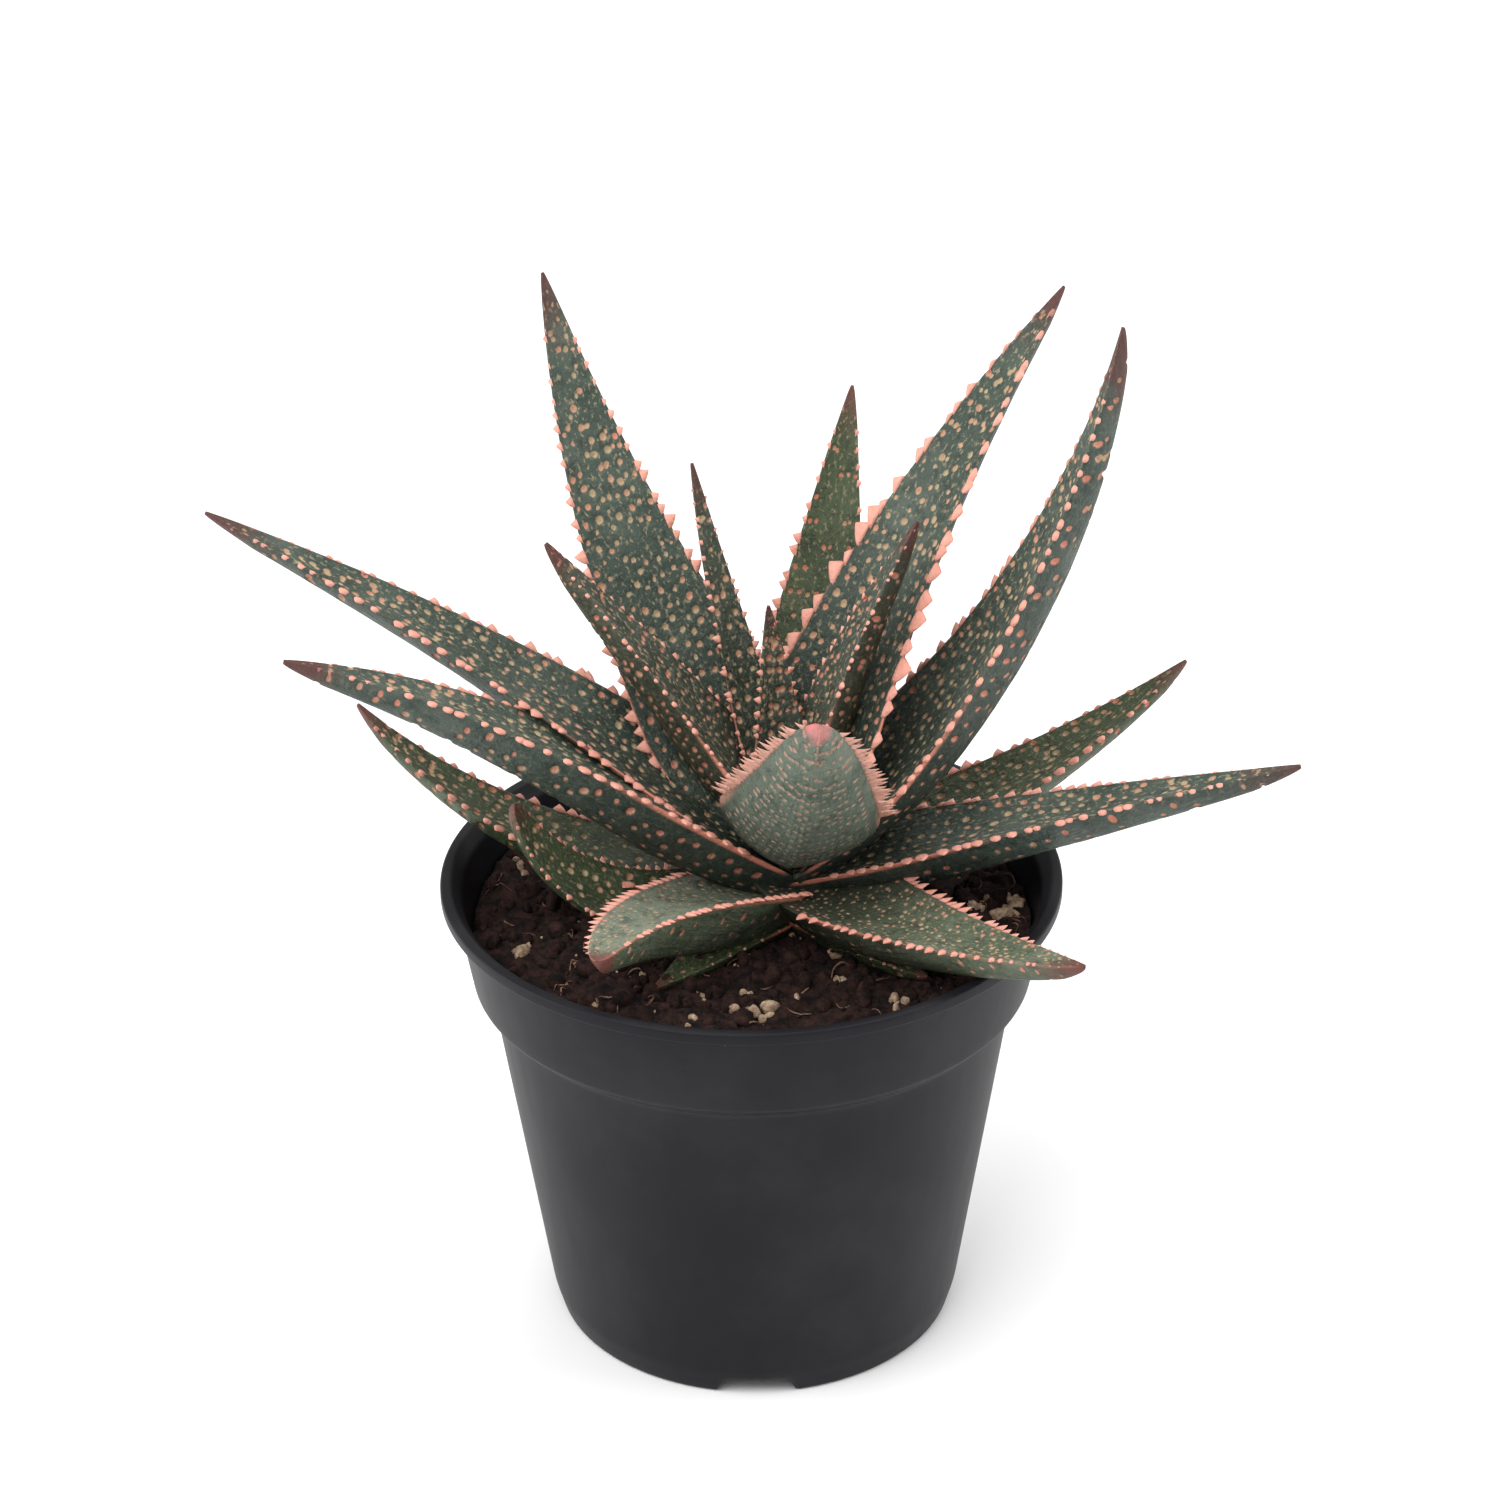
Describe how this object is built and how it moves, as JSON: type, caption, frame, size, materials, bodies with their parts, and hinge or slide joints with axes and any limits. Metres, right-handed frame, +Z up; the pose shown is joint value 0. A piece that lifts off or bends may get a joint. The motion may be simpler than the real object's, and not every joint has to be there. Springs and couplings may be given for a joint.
{
  "type": "potted aloe plant",
  "caption": "Small succulent with long, toothed, blue-green leaves in a rosette, growing in soil in a round black plastic nursery pot.",
  "frame": {"origin": "on the pot's axis at the level it stands on, under the middle of the object's box", "axes": "+Z up along the pot's axis, -Y towards the front, +X to the front's right"},
  "size_m": [0.1809, 0.105, 0.1799],
  "materials": {
    "pot_plastic": "matte moulded charcoal plastic",
    "potting_soil": "dark moist peat with pale perlite grains",
    "stem_skin": "matte plant skin",
    "leaf_skin": "waxy blue-green leaf skin with salmon teeth and bumps"
  },
  "bodies": {
    "root": {"pot": "pot_plastic", "soil": "potting_soil", "stem": "stem_skin", "leaf_innermost": "leaf_skin", "leaf_inner_right": "leaf_skin", "leaf_inner_back": "leaf_skin", "leaf_inner_left": "leaf_skin", "leaf_front_young": "leaf_skin", "leaf_back_right": "leaf_skin", "leaf_back_left": "leaf_skin", "leaf_right_tall": "leaf_skin", "leaf_left_long": "leaf_skin", "leaf_left_lower": "leaf_skin", "leaf_right": "leaf_skin", "leaf_back_centre": "leaf_skin", "leaf_front_left": "leaf_skin", "leaf_front_right": "leaf_skin", "leaf_right_back": "leaf_skin", "leaf_left_under": "leaf_skin", "leaf_left_small": "leaf_skin", "leaf_front_small": "leaf_skin", "leaf_front_under": "leaf_skin"}
  },
  "joints": []
}
